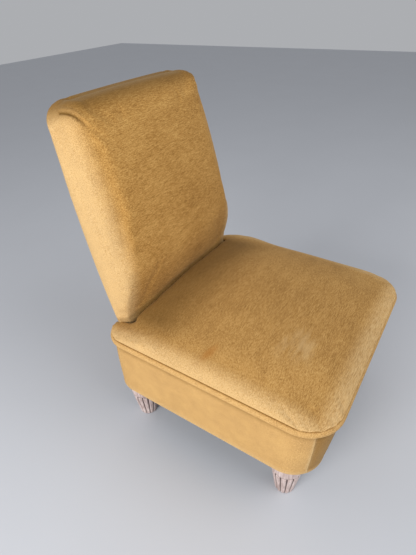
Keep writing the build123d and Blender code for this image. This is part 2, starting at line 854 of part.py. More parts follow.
# Local frames in which a strap's side view lies flat and the wood is at zero
upright_frame = Plane(
    origin=back_web_plane.from_local_coords((0, opening_mid, 0)),
    x_dir=back_plane.y_dir,
    z_dir=-back_plane.x_dir,
)
cross_frame = Plane(
    origin=back_web_plane.from_local_coords((0, opening_mid, 0)),
    x_dir=back_plane.x_dir,
    z_dir=back_plane.y_dir,
)
upright_reach = (opening_high - opening_low) / 2 + back_strap_hold
with BuildPart() as back_webbing_upright:
    for index, x in enumerate(upright_steps):
        strap = woven_strap(
            upright_frame.offset(-x),
            -upright_reach,
            upright_reach,
            cross_steps,
            back_strap_flat,
            index,
        )
        extrude(strap, amount=back_strap_width / 2, both=True)
save(back_webbing_upright.part, "back_webbing_upright")

cross_reach = stile_inner + back_strap_hold
with BuildPart() as back_webbing_cross:
    for index, up in enumerate(cross_steps):
        strap = woven_strap(
            cross_frame.offset(up),
            -cross_reach,
            cross_reach,
            upright_steps,
            back_strap_flat,
            index + 1,
        )
        extrude(strap, amount=back_strap_width / 2, both=True)
save(back_webbing_cross.part, "back_webbing_crosswise")

back_frame_half = stile_outer + layer_gap
with BuildPart() as back_hessian:
    with BuildSketch(back_plane.offset(-back_hessian_face)):
        with Locations((0, (stile_top + low_rail_up) / 2)):
            Rectangle(2 * stile_outer, stile_top - low_rail_up)
    extrude(amount=-hessian)
save(back_hessian.part, "back_hessian")

# Floor of the back, on the stuffed edge of the seat
with BuildPart() as below_back:
    with Locations((0, 0, lip_z)):
        Box(
            2 * seat_width,
            4 * seat_depth,
            2 * seat_depth,
            align=(Align.CENTER, Align.CENTER, Align.MAX),
        )

# The frame, webbing and hessian lie in a hollow of the pad
with BuildPart() as back_hollow:
    with BuildSketch(back_plane.offset(layer_gap - back_hessian_face)):
        with Locations((0, stile_top + layer_gap)):
            Rectangle(
                2 * back_frame_half,
                back_length + back_tail,
                align=(Align.CENTER, Align.MAX),
            )
    extrude(amount=-back_thickness)

with BuildPart() as back_pad:
    add(back_form(cover + layer_gap, 2, 1))
    add(back_hollow.part, mode=Mode.SUBTRACT)
    add(below_back.part, mode=Mode.SUBTRACT)
save(back_pad.part, "back_pad")

panel_inset = rear_round + panel_set
with BuildPart() as back_front_cover:
    add(back_body)
    add(back_form(cover, 2, 1), mode=Mode.SUBTRACT)
    extrude(back_outline(back_thickness / 2, panel_inset), amount=-back_thickness, mode=Mode.SUBTRACT)
    add(below_back.part, mode=Mode.SUBTRACT)
save(back_front_cover.part, "back_front_cover")

with BuildPart() as back_outer_panel:
    extrude(back_outline(back_thickness - cover, panel_inset), amount=-cover)
    add(below_back.part, mode=Mode.SUBTRACT)
save(back_outer_panel.part, "back_outer_panel")

with BuildPart() as back_lining:
    with BuildSketch(back_plane.offset(-stile_back)):
        with Locations((0, stile_top)):
            Rectangle(2 * stile_centre, back_length + back_tail, align=(Align.CENTER, Align.MAX))
    extrude(amount=-lining)
    add(below_back.part, mode=Mode.SUBTRACT)
save(back_lining.part, "back_lining")
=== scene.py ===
import json
import math

import bmesh
import bpy
from mathutils import Matrix, Vector

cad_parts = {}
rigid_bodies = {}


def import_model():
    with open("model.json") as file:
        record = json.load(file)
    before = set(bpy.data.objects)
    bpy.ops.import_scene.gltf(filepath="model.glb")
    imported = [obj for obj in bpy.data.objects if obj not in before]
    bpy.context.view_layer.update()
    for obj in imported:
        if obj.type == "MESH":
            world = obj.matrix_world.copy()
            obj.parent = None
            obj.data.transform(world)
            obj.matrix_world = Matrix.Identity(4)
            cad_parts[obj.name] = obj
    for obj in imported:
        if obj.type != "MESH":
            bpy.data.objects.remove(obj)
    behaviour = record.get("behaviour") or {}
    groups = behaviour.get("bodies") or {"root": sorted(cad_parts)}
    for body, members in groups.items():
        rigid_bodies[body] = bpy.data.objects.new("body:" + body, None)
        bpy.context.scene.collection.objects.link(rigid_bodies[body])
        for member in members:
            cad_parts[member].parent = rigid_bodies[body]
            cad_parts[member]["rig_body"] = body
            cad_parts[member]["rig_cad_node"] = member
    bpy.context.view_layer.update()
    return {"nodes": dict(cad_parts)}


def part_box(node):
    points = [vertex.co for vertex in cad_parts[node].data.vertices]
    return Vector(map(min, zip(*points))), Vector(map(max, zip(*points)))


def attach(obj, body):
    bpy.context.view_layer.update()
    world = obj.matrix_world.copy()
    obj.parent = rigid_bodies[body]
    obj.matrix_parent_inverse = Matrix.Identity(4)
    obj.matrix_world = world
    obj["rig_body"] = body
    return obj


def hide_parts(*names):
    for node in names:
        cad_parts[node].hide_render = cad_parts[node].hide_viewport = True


# a low cocktail chair in worn gold velvet, dressed over its CAD frame; lengths are in metres
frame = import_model()
scene = bpy.context.scene
nodes = frame["nodes"]
lipLow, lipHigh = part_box("seat_lip")
coverLow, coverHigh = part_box("seat_top_cover")
print("frame loaded:", len(nodes), "nodes")

# camera
cameraLook = {
    "place": (-0.7149, -0.3912, 0.9714),
    "azimuth": -55.249,
    "elevation": 35.86,
    "roll": -2.977,
    "focalPixels": 403.5,
    "imageHeight": 555,
    "sensor": 36.0,
}


def addCamera(look):
    azimuth, elevation, roll = (math.radians(look[key]) for key in ("azimuth", "elevation", "roll"))
    back = Vector((
        math.sin(azimuth) * math.cos(elevation),
        -math.cos(azimuth) * math.cos(elevation),
        math.sin(elevation),
    ))
    right = Vector((math.cos(azimuth), math.sin(azimuth), 0))
    up = back.cross(right)
    turnedRight = right * math.cos(roll) + up * math.sin(roll)
    turnedUp = up * math.cos(roll) - right * math.sin(roll)
    bpy.ops.object.camera_add(location=look["place"])
    camera = bpy.context.object
    axes = Matrix((turnedRight, turnedUp, back)).transposed().to_4x4()
    camera.matrix_world = Matrix.Translation(look["place"]) @ axes
    camera.data.sensor_width = look["sensor"]
    camera.data.lens = look["sensor"] * look["focalPixels"] / look["imageHeight"]
    scene.camera = camera


addCamera(cameraLook)


# small tools for modelling
mergeDistance = 0.00001
clothLook = {"quality": 4, "mass": 0.3}


def deselectAll():
    if bpy.context.mode != "OBJECT":
        bpy.ops.object.mode_set(mode="OBJECT")
    bpy.ops.object.select_all(action="DESELECT")


def makeActive(piece):
    deselectAll()
    piece.select_set(True)
    bpy.context.view_layer.objects.active = piece


def openEdit(piece):
    makeActive(piece)
    bpy.ops.object.mode_set(mode="EDIT")


def closeEdit():
    bpy.ops.object.mode_set(mode="OBJECT")


def pick(piece, test, what="verts"):
    # selects by place in edit mode: a test on a vertex's place, or on an edge or face
    kind = {"verts": "VERT", "edges": "EDGE", "faces": "FACE"}[what]
    bpy.ops.mesh.select_mode(type=kind)
    bpy.ops.mesh.select_all(action="DESELECT")
    shape = bmesh.from_edit_mesh(piece.data)
    for part in getattr(shape, what):
        if test(part.co if what == "verts" else part):
            part.select_set(True)
    shape.select_flush_mode()
    bmesh.update_edit_mesh(piece.data)


def applyModifier(piece, kind, **settings):
    makeActive(piece)
    modifier = piece.modifiers.new(kind.title(), kind)
    for key, value in settings.items():
        setattr(modifier, key, value)
    bpy.ops.object.modifier_apply(modifier=modifier.name)


def copyNodes(name, *names):
    # one mesh of its own from CAD nodes, merged
    deselectAll()
    copies = []
    for node in names:
        copy = nodes[node].copy()
        copy.data = nodes[node].data.copy()
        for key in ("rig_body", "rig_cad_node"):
            del copy[key]
        copy.parent = None
        copy.matrix_world = Matrix.Identity(4)
        scene.collection.objects.link(copy)
        copies.append(copy)
    for copy in copies:
        copy.select_set(True)
    bpy.context.view_layer.objects.active = copies[0]
    if len(copies) > 1:
        bpy.ops.object.join()
    piece = bpy.context.view_layer.objects.active
    piece.name = piece.data.name = name
    piece.data.materials.clear()
    openEdit(piece)
    bpy.ops.mesh.select_all(action="SELECT")
    bpy.ops.mesh.remove_doubles(threshold=mergeDistance)
    closeEdit()
    return piece


def softForm(name, look, *names):
    # the CAD form as a rounded, slightly slack cushion of even faces
    piece = copyNodes(name, *names)
    applyModifier(piece, "REMESH", mode="VOXEL", voxel_size=look["voxel"])
    applyModifier(piece, "SMOOTH", factor=0.5, iterations=look["rounding"])
    applyModifier(piece, "DISPLACE", strength=-look["slack"], mid_level=0)
    return piece


def stuff(piece, look, held):
    # stuffing presses the cover out from inside; held points stay where they are
    group = piece.vertex_groups.new(name="held")
    group.add([v.index for v in piece.data.vertices if held(v.co)], 1, "REPLACE")
    before = [v.co.copy() for v in piece.data.vertices]
    makeActive(piece)
    cloth = piece.modifiers.new("Cloth", "CLOTH")
    cloth.settings.quality = clothLook["quality"]
    cloth.settings.mass = clothLook["mass"]
    cloth.settings.tension_stiffness = look["stiffness"]
    cloth.settings.compression_stiffness = look["stiffness"]
    cloth.settings.bending_stiffness = look["bending"]
    cloth.settings.use_pressure = True
    cloth.settings.uniform_pressure_force = look["pressure"]
    cloth.settings.effector_weights.gravity = 0
    cloth.settings.vertex_group_mass = "held"
    cloth.collision_settings.use_collision = False
    scene.frame_start, scene.frame_end = 1, look["frames"]
    for step in range(1, look["frames"] + 1):
        scene.frame_set(step)
    bpy.ops.object.modifier_apply(modifier=cloth.name)
    for vertex, start in zip(piece.data.vertices, before):
        moved = vertex.co - start
        if moved.length > look["cap"]:
            vertex.co = start + moved * (look["cap"] / moved.length)
    piece.vertex_groups.clear()
    scene.frame_set(1)


def setAttribute(piece, name, values):
    attribute = piece.data.attributes.new(name, "FLOAT", "POINT")
    attribute.data.foreach_set("value", values)


# edges that turn by more stay sharp, in degrees
clothAngle = 50
softAngle = 70
woodAngle = 60


def smoothShade(piece, angle=clothAngle):
    makeActive(piece)
    bpy.ops.object.shade_smooth_by_angle(angle=math.radians(angle))


def keepPiece(piece, finish, slotName, *names):
    piece.data.materials.clear()
    piece.data.materials.append(finish)
    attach(piece, "root")
    if names:
        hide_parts(*names)


def clip(value):
    return min(max(value, 0), 1)


def ease(value, low, high):
    # 0 below low, 1 above high, a soft step between them
    share = clip((value - low) / (high - low))
    return share * share * (3 - 2 * share)


def fallOff(distance, reach):
    # 1 at no distance, fading to 0 at the reach
    return (1 - clip(distance / reach)) ** 2


# the back's own axes: across, up the rake, and deep into the back; they start on the crown of the seat
sittingDepth = 0.472
crownHeight = 0.362
backAxes = {"y": lipLow.y + sittingDepth, "z": crownHeight, "rake": math.radians(12.5)}


def onBack(place):
    alongY, alongZ = place.y - backAxes["y"], place.z - backAxes["z"]
    lean = backAxes["rake"]
    up = alongY * math.sin(lean) + alongZ * math.cos(lean)
    deep = alongY * math.cos(lean) - alongZ * math.sin(lean)
    return place.x, up, deep


# shader tools
class Value:
    # one shader socket, so that masks are written as sums and products
    def __init__(self, finish, socket):
        self.finish, self.socket = finish, socket

    def maths(self, operation, first, second=0.0, clamp=False):
        return self.finish.node("Math", {"operation": operation, "use_clamp": clamp}, {0: first, 1: second})

    def __add__(self, other):
        return self.maths("ADD", self, other)

    __radd__ = __add__

    def __sub__(self, other):
        return self.maths("SUBTRACT", self, other)

    def __rsub__(self, other):
        return self.maths("SUBTRACT", other, self)

    def __mul__(self, other):
        return self.maths("MULTIPLY", self, other)

    __rmul__ = __mul__

    def between(self, low, high):
        # 0 below low, 1 above high, straight between them
        return self.maths("MULTIPLY", self - low, 1 / (high - low), clamp=True)


class Finish:
    # a material and the one way nodes are added to it
    def __init__(self, name):
        self.material = bpy.data.materials.new(name)
        self.material.use_nodes = True
        self.tree = self.material.node_tree
        self.shader = self.tree.nodes["Principled BSDF"]
        self.place = self.node("TexCoord", {}, {}, "Object")

    def node(self, kind, settings, sockets, output=0):
        node = self.tree.nodes.new("ShaderNode" + kind)
        for key, value in settings.items():
            if key == "stops":
                ramp = node.color_ramp.elements
                while len(ramp) < len(value):
                    ramp.new(0.5)
                for element, (position, colour) in zip(ramp, value):
                    element.position = position
                    element.color = (*colour, 1)
            else:
                setattr(node, key, value)
        for key, value in sockets.items():
            self.join(node.inputs[key], value)
        return Value(self, node.outputs[output])

    def join(self, socket, value):
        if isinstance(value, Value):
            self.tree.links.new(value.socket, socket)
        elif isinstance(value, (tuple, list)) and len(value) == 3 and socket.type == "RGBA":
            socket.default_value = (*value, 1)
        else:
            socket.default_value = value

    def noise(self, scale, detail=2.0, stretch=(1, 1, 1), rough=0.5):
        place = self.node("Mapping", {}, {"Vector": self.place, "Scale": stretch})
        sockets = {"Vector": place, "Scale": scale, "Detail": detail, "Roughness": rough}
        return self.node("TexNoise", {}, sockets)

    def weave(self, scale):
        # warp and weft, crossing
        warp = self.node("TexWave", {"bands_direction": "X"}, {"Vector": self.place, "Scale": scale})
        weft = self.node("TexWave", {"bands_direction": "Y"}, {"Vector": self.place, "Scale": scale})
        return self.node("SeparateColor", {}, {"Color": self.mix(0.5, warp, weft)})

    def mix(self, share, first, second):
        settings = {"data_type": "RGBA", "clamp_factor": True}
        return self.node("Mix", settings, {0: share, 6: first, 7: second}, 2)

    def attribute(self, name):
        return self.node("Attribute", {"attribute_name": name}, {}, "Fac")

    def ramp(self, share, stops):
        return self.node("ValToRGB", {"stops": stops}, {"Fac": share})

    def bump(self, height, strength, distance):
        return self.node("Bump", {}, {"Height": height, "Strength": strength, "Distance": distance})

    def surface(self, **sockets):
        for key, value in sockets.items():
            self.join(self.shader.inputs[key.replace("_", " ")], value)
        return self.material


# velvet
# deep is the colour of the painted shade; the pale colour below serves both the painted highlights and real
# wear
velvetLook = {
    "deep": (0.135, 0.066, 0.012),
    "shade": (0.300, 0.148, 0.035),
    "body": (0.468, 0.242, 0.062),
    "light": (0.630, 0.370, 0.118),
    "worn": (0.660, 0.468, 0.238),
    "stain": (0.400, 0.150, 0.025),
    "sheen": (1.0, 0.84, 0.56),
}


def velvetFinish(name, look):
    finish = Finish(name)
    lean = finish.noise(7, 2)                                # hand-wide patches where the pile leans
    brushed = finish.noise(45, 3, (0.30, 1, 1))              # soft marks across the cloth
    rows = finish.noise(760, 2, (0.09, 1, 1))                # fine streaks along the rows of the weave
    grain = finish.noise(620, 2, (0.45, 1, 1), 0.6)          # tufts
    pile = finish.noise(1300, 2)                             # single hairs
    nap = lean * 0.10 + brushed * 0.10 + rows * 0.34 + grain * 0.30 + pile * 0.16
    colour = finish.ramp(nap, [(0.42, look["shade"]), (0.50, look["body"]), (0.59, look["light"])])
    # painted highlight, in the same pale colour as wear, broken up along the rows
    worn = finish.attribute("worn") * (0.35 + rows.between(0.34, 0.66) * 0.65)
    colour = finish.mix(worn, colour, look["worn"])
    rubbed = finish.attribute("rubbed") * brushed.between(0.46, 0.66)
    colour = finish.mix(rubbed, colour, look["worn"])
    colour = finish.mix(finish.attribute("stain") * (0.35 + grain), colour, look["stain"])
    # painted shade, darkening towards the deep colour
    colour = finish.mix(finish.attribute("shade"), colour, look["deep"])
    height = rows * 0.4 + grain * 0.5 + pile * 0.4
    return finish.surface(
        Base_Color=colour,
        Roughness=0.70 + nap * 0.3,
        Normal=finish.bump(height, 0.12, 0.0010),
        Sheen_Weight=0.12,
        Sheen_Roughness=0.42,
        Sheen_Tint=look["sheen"],
        Specular_IOR_Level=0.10,
    )


velvet = velvetFinish("goldVelvet", velvetLook)
print("velvet ready")

# seat top
coverMid = (coverLow.y + coverHigh.y) / 2
seatLook = {
    "voxel": 0.006,
    "rounding": 5,
    "slack": 0.0020,
    "crownRadius": 1.4,
    "edgeDrop": 0.013,
    "edgeReach": 0.17,
    "edgeAbove": (0.004, 0.030),
    "rearLift": 0.008,
    "rearRange": (0.0, 0.18),
    "underBack": 0.028,
    "underCorner": 0.008,
    "underSide": 0.010,
    "underAbove": (0.006, 0.020),
    "underAhead": 0.04,
    "underDeep": 0.05,
    "cornerRange": (0.13, 0.21),
    "notchHalf": 0.2176,
    "notchReach": 0.03,
    "notchStart": 0.15,
    "heldSeam": 0.003,
    "heldHalf": 0.24,
    "heldAhead": 0.006,
    "swell": 0.0050,
    "swellFrom": (-0.004, 0.006),
    "swellTo": (0.010, 0.040),
    "swellOuter": 0.86,
    "swellSteep": 0.25,
    "pressure": 4.0,
    "stiffness": 12.0,
    "bending": 0.6,
    "frames": 20,
    "cap": 0.006,
    "fill": 0.75,
    "tone": 0.19,
    "fade": 0.13,
    "edgeHighlight": 0.75,
    "edgeBand": (0.010, 0.050),
    "underShade": 0.55,
    "underFade": 0.15,
    "shadeHalf": 0.26,
    "shadeSoft": 0.07,
    "seamShade": 0.7,
    "seamBand": 0.0030,
    "stain": {
        "place": (-0.223, -0.044),
        "run": (0.951, -0.308),
        "long": 0.034,
        "wide": 0.013,
        "core": 0.2,
        "strength": 0.65,
    },
    "rubbed": {"place": (-0.115, -0.200), "wide": 0.085, "long": 0.075, "strength": 0.45},
}


def swellShoulder(piece, look, seam):
    # the cover stands out over the seam, as far as the lip
    normals = [vertex.normal.copy() for vertex in piece.data.vertices]
    for vertex, normal in zip(piece.data.vertices, normals):
        aside = Vector((normal.x, normal.y, 0))
        outer = max(abs(vertex.co.x) / coverHigh.x, (coverMid - vertex.co.y) / (coverMid - coverLow.y))
        if aside.length < look["swellSteep"] or outer < look["swellOuter"]:
            continue
        above = vertex.co.z - seam
        share = ease(above, *look["swellFrom"]) * (1 - ease(above, *look["swellTo"]))
        vertex.co += aside.normalized() * look["swell"] * share


def sideDrop(x, y, look):
    # how far the cover lies under its crown towards a side: lower in front, lifted beside the back
    rear = ease(y, *look["rearRange"])
    drop = look["edgeDrop"] * (1 - rear) - look["rearLift"] * rear
    return drop * fallOff(coverHigh.x - abs(x), look["edgeReach"])


def seatHeight(x, y, look):
    # the crown of the seat, about as high as its cover lies beside the back
    crown = crownHeight - (x * x + (y - coverMid) ** 2) / (2 * look["crownRadius"])
    return crown - sideDrop(x, y, look)


def settleSeat(piece, look, seam):
    # the stuffing is thinner towards the sides and the front, and runs in under the back
    for vertex in piece.data.vertices:
        across, up, deep = onBack(vertex.co)
        drop = sideDrop(across, vertex.co.y, look)
        drop += look["edgeDrop"] * fallOff(vertex.co.y - coverLow.y, look["edgeReach"])
        vertex.co.z -= drop * ease(vertex.co.z - seam, *look["edgeAbove"])
        high = ease(vertex.co.z - seam, *look["underAbove"])
        beside = 1 - ease(abs(across) - look["notchHalf"], 0.0, look["notchReach"])
        close = high * beside * (1 - ease(-deep, 0.0, look["underAhead"]))
        reach = look["underBack"] + look["underCorner"] * ease(abs(across), *look["cornerRange"])
        vertex.co.y += reach * close * (1 - ease(deep, 0.0, look["underDeep"]))
        inward = look["underSide"] * close * ease(abs(across), look["notchStart"], look["notchHalf"])
        vertex.co.x -= math.copysign(inward, across)


def markSeat(piece, look, seam):
    # painted highlight along the edges; painted shade over the flat, a painted shadow under the back and
    # painted shade along the seam; a stain and a rubbed patch. The flat also takes a little of the pale
    # colour, which with its shade makes it greyer and darker
    worn, shade, stain, rubbed = [], [], [], []
    spill, patch = look["stain"], look["rubbed"]
    spillPlace, spillRun = Vector(spill["place"]), Vector(spill["run"])
    spillSide = Vector((-spillRun.y, spillRun.x))
    patchPlace = Vector(patch["place"])
    for vertex in piece.data.vertices:
        place = vertex.co
        across, up, deep = onBack(place)
        fromEdge = min(coverHigh.x - abs(place.x), place.y - coverLow.y)
        edge = 1 - ease(fromEdge, *look["edgeBand"])
        # painted highlight along the edges, and a little pale colour over the flat
        worn.append(look["edgeHighlight"] * edge + look["fade"] * (1 - edge))
        near = 1 - ease(-deep, 0.0, look["underFade"])
        under = look["underShade"] * near * ease(look["shadeHalf"] - abs(across), 0.0, look["shadeSoft"])
        low = 1 - ease(place.z - seam, 0.0, look["seamBand"])
        # painted shade over the flat, painted shadow of the back, painted shade in the seam
        shade.append(min(look["tone"] * (1 - edge) + under + look["seamShade"] * low, 1))
        fromSpill = place.xy - spillPlace
        spot = math.hypot(fromSpill.dot(spillRun) / spill["long"], fromSpill.dot(spillSide) / spill["wide"])
        stain.append(spill["strength"] * (1 - ease(spot, spill["core"], 1.0)))
        fromPatch = place.xy - patchPlace
        spot = math.hypot(fromPatch.x / patch["wide"], fromPatch.y / patch["long"])
        rubbed.append(patch["strength"] * (1 - ease(spot, 0.0, 1.0)))
    setAttribute(piece, "worn", worn)
    setAttribute(piece, "shade", shade)
    setAttribute(piece, "stain", stain)
    setAttribute(piece, "rubbed", rubbed)


def makeSeatTop(look):
    piece = softForm("seatTop", look, "seat_top_cover", "seat_pad")
    seam = coverLow.z
    settleSeat(piece, look, seam)

    def held(place):
        across, up, deep = onBack(place)
        notched = abs(across) < look["heldHalf"] and deep > -look["heldAhead"]
        return notched or place.z < seam + look["heldSeam"]

    stuff(piece, look, held)
    swellShoulder(piece, look, seam)
    applyModifier(piece, "SUBSURF", levels=1, render_levels=1)
    markSeat(piece, look, seam)
    smoothShade(piece, softAngle)
    keepPiece(piece, velvet, "velvet", "seat_top_cover", "seat_pad")


makeSeatTop(seatLook)
print("seat top made")

# back
backLook = {
    "voxel": 0.006,
    "rounding": 4,
    "slack": 0.0010,
    "pressure": 4.0,
    "stiffness": 12.0,
    "bending": 0.6,
    "frames": 20,
    "cap": 0.006,
    "fill": 0.8,
    "length": 0.470,
    "halfWidth": 0.226,
    "frontRange": (0.050, 0.090),
    "sideRange": (0.16, 0.21),
    "belly": 0.009,
    "sideBelly": 0.004,
    "footDrop": 0.020,
    "footReach": 0.10,
    "topShift": 0.004,
    "lowWidth": 0.012,
    "rollReach": 0.030,
    "rollDepth": 0.012,
    "rollBehind": 0.045,
    "cornerReach": 0.048,
    "cornerIn": 0.010,
    "rise": 0.004,
    "riseRange": (0.38, 0.46),
    "edgeDrop": 0.003,
    "edgeFoot": 0.010,
    "edgeReach": 0.10,
    "edgeRange": (0.010, 0.060),
    "topCorner": (0.160, 0.414),
    "cornerFill": 0.004,
    "cornerSoft": 0.04,
    "pleatStart": (0.214, 0.466),
    "pleatEnd": (0.178, 0.406),
    "pleatWidth": 0.007,
    "pleatDepth": 0.0048,
    "pleatRidge": 0.0022,
    "pleatBehind": 0.055,
    "pleatOpens": (0.05, 0.40),
    "pleatCloses": (0.6, 1.0),
    "hollow": {"half": 0.182, "up": 0.438, "deep": 0.044},
    "heldDeep": 0.088,
    "heldLow": 0.30,
    "sideHighlight": 0.8,
    "highlightRange": (0.178, 0.224),
    "topShade": 0.70,
    "topRange": (0.420, 0.466),
    "lowShade": 0.4,
    "lowBand": 0.010,
    "creaseShade": 0.9,
}


def foldPleats(piece, look):
    # a tucked fold runs in from each top corner: a groove with a ridge beside it
    start, end = Vector(look["pleatStart"]), Vector(look["pleatEnd"])
    run = end - start
    sideways = Vector((run.y, -run.x)).normalized()
    normals = [vertex.normal.copy() for vertex in piece.data.vertices]
    creased = [0.0] * len(normals)
    for vertex, normal in zip(piece.data.vertices, normals):
        across, up, deep = onBack(vertex.co)
        place = Vector((abs(across) - start.x, up - start.y))
        share = place.dot(run) / run.length_squared
        aside = place.dot(sideways) / look["pleatWidth"]
        if deep > look["pleatBehind"] or not 0 < share < 1 or abs(aside) > 2:
            continue
        fade = ease(share, *look["pleatOpens"]) * (1 - ease(share, *look["pleatCloses"]))
        groove = max(1 - abs(aside), 0) ** 1.5
        ridge = max(1 - abs(aside - 1), 0) ** 2
        vertex.co += normal * fade * (look["pleatRidge"] * ridge - look["pleatDepth"] * groove)
        creased[vertex.index] = fade * max(1 - abs(aside) * 2, 0)
    return creased


def settleBack(piece, look):
    # fullest half way up, full at the top corners, drawn in and rolled under where it meets the seat
    inward = Vector((0, math.cos(backAxes["rake"]), -math.sin(backAxes["rake"])))
    along = Vector((0, math.sin(backAxes["rake"]), math.cos(backAxes["rake"])))
    for vertex in piece.data.vertices:
        across, up, deep = onBack(vertex.co)
        share = clip(up / look["length"])
        ahead = 1 - ease(deep, *look["frontRange"])
        belly = 4 * share * (1 - share)
        foot = fallOff(up, look["footReach"])
        drawn = look["footDrop"] * foot - look["belly"] * belly - look["topShift"] * share
        vertex.co += inward * ahead * drawn
        wide = ease(abs(across), *look["sideRange"]) * math.copysign(1, across)
        vertex.co.x += wide * (look["lowWidth"] * (1 - share) ** 2 + look["sideBelly"] * belly)
        bent = fallOff(look["halfWidth"] - abs(across), look["edgeReach"])
        drop = look["edgeDrop"] + look["edgeFoot"] * foot
        vertex.co += inward * drop * bent * (1 - ease(deep, *look["edgeRange"]))
        vertex.co += along * look["rise"] * ease(up, *look["riseRange"])
        outX, outUp = abs(across) - look["topCorner"][0], up - look["topCorner"][1]
        if outX > 0 and outUp > 0:
            turn = math.atan2(outUp, outX)
            soft = ease(math.hypot(outX, outUp), 0.0, look["cornerSoft"])
            fill = look["cornerFill"] * math.sin(2 * turn) * soft
            vertex.co.x += math.copysign(math.cos(turn) * fill, across)
            vertex.co += along * math.sin(turn) * fill
        above = vertex.co.z - seatHeight(vertex.co.x, vertex.co.y, seatLook)
        roll = fallOff(above, look["rollReach"])
        vertex.co += inward * look["rollDepth"] * roll * (1 - ease(deep, 0.0, look["rollBehind"]))
        corner = fallOff(above, look["cornerReach"])
        vertex.co.x -= wide * look["cornerIn"] * corner * ahead


def markBack(piece, look, creased):
    # painted highlight on both sides, painted shade on the top, along the seat and in the pleats
    worn, shade = [], []
    for vertex in piece.data.vertices:
        across, up, deep = onBack(vertex.co)
        worn.append(look["sideHighlight"] * ease(abs(across), *look["highlightRange"]))
        top = ease(up, *look["topRange"])
        low = 1 - ease(vertex.co.z - seatHeight(vertex.co.x, vertex.co.y, seatLook), 0.0, look["lowBand"])
        crease = look["creaseShade"] * creased[vertex.index]
        shade.append(min(look["topShade"] * top + look["lowShade"] * low + crease, 1))
    setAttribute(piece, "worn", worn)
    setAttribute(piece, "shade", shade)


def makeBack(look):
    piece = softForm("backPadded", look, "back_front_cover", "back_pad")
    settleBack(piece, look)
    hollow = look["hollow"]

    def held(place):
        across, up, deep = onBack(place)
        inside = abs(across) < hollow["half"] and up < hollow["up"] and deep > hollow["deep"]
        return inside or deep > look["heldDeep"] or place.z < look["heldLow"]

    stuff(piece, look, held)
    applyModifier(piece, "SUBSURF", levels=1, render_levels=1)
    creased = foldPleats(piece, look)
    markBack(piece, look, creased)
    smoothShade(piece, softAngle)
    keepPiece(piece, velvet, "velvet", "back_front_cover", "back_pad")


makeBack(backLook)
print("back made")

# lip
lipLook = {
    "voxel": 0.003,
    "rounding": 5,
    "slack": -0.0006,
    "fill": 0.9,
    "topBand": (-0.001, 0.0004),
    "lowBand": 0.002,
    "seamShade": 0.55,
    "fade": 0.40,
}


def makeLip(look):
    piece = softForm("seatLip", look, "seat_lip")
    # painted shade in the seams at the top and foot of the lip; between them the lip takes the pale colour
    # as a painted highlight on the roll
    shade, worn = [], []
    for vertex in piece.data.vertices:
        top = ease(vertex.co.z - lipHigh.z, *look["topBand"])
        low = 1 - ease(vertex.co.z - lipLow.z, 0.0, look["lowBand"])
        seam = max(top, low)
        shade.append(look["seamShade"] * seam)
        worn.append(look["fade"] * (1 - seam))
    setAttribute(piece, "shade", shade)
    setAttribute(piece, "worn", worn)
    smoothShade(piece, softAngle)
    keepPiece(piece, velvet, "velvet", "seat_lip")


makeLip(lipLook)
print("lip made")

# apron
apronLook = {
    "inset": 0.008,
    "frontCorner": 0.074,
    "rearCorner": 0.057,
    "cornerSteps": 24,
    "straight": 0.2,
    "tuck": 0.019,
    "tuckAhead": 0.01,
    "bottom": 0.132,
    "levels": (0.0, 0.02, 0.06, 0.10, 0.135, 0.150, 0.1545, 0.156),
    "swell": (0.0, 0.0006, 0.0014, 0.0014, 0.0010, 0.0014, 0.0, -0.0030),
    "hem": 0.009,
    "cloth": 0.002,
    "edgeRound": 0.0018,
    "edgeAngle": 40,
    "cuts": 24,
    "turnIn": 0.006,
    "turnTo": (0.0, -0.05),
    "seamWidth": (0.0005, 0.005),
    "lipBand": 0.022,
    "hemBand": 0.02,
    "lipShade": 0.6,
    "hemHighlight": 0.4,
    "seamPale": 0.7,
    "panelShade": {"front": 0.55, "rear": 0.06, "left": 0.06, "right": 0.06},
    "panelHighlight": {"front": 0.0, "rear": 0.0, "left": 0.40, "right": 0.40},
}
# a point this near to a level or a seam lies on it
onLevel = 0.0004
onSeam = 0.00002


